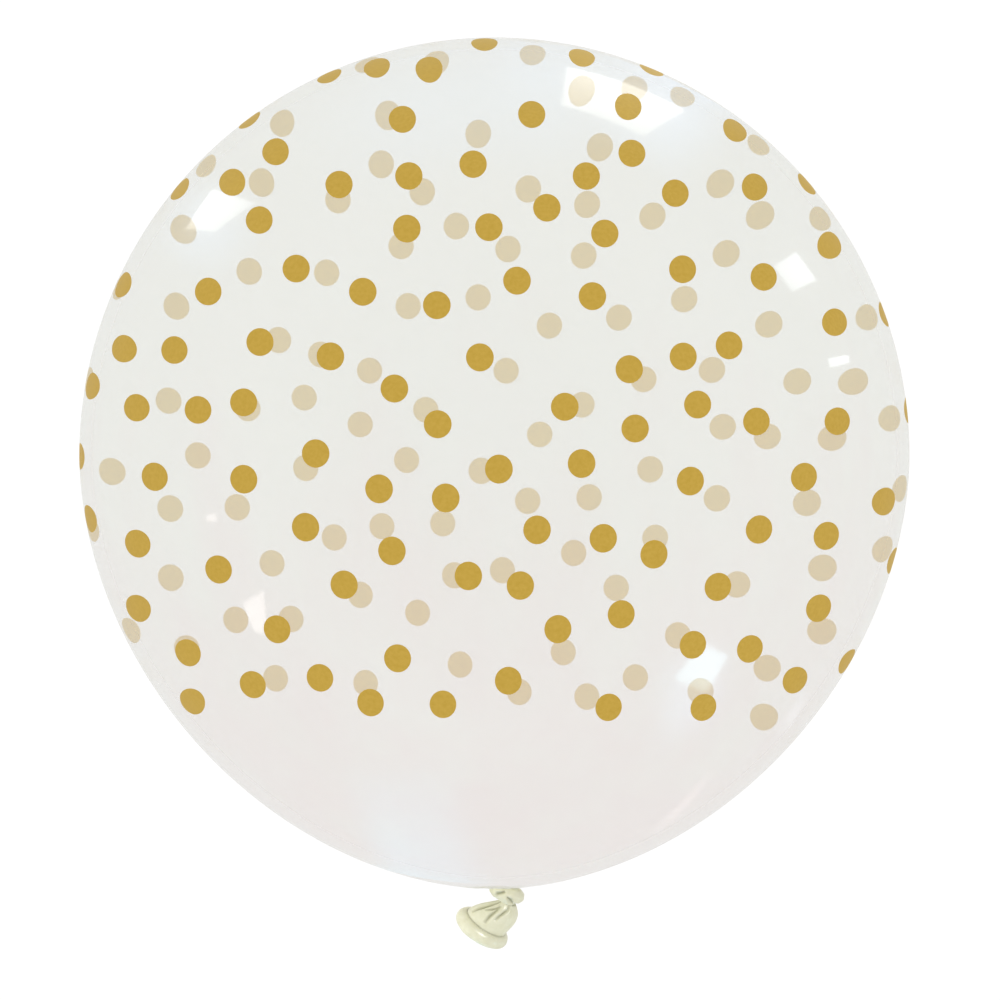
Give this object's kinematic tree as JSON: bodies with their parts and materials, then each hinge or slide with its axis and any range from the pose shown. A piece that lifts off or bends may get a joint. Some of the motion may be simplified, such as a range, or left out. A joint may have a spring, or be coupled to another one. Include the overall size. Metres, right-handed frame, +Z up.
{
  "type": "printed latex balloon",
  "caption": "Large round clear latex balloon printed with scattered gold dots, blown up, tied off at the neck and lying on its side.",
  "frame": {"origin": "middle of the small flat spot that the balloon rests on, under its widest ring", "axes": "+Z up, out of the floor; +Y along the balloon's long axis, from the tied neck to the crown; +X across it"},
  "size_m": [0.48, 0.527, 0.4784],
  "materials": {
    "latex": "thin glossy see-through latex film, printed with scattered round dots in satin gold ink; denser and cream where it isn't stretched, at the knot and the tail"
  },
  "bodies": {
    "root": {"balloon": "latex"}
  },
  "joints": []
}
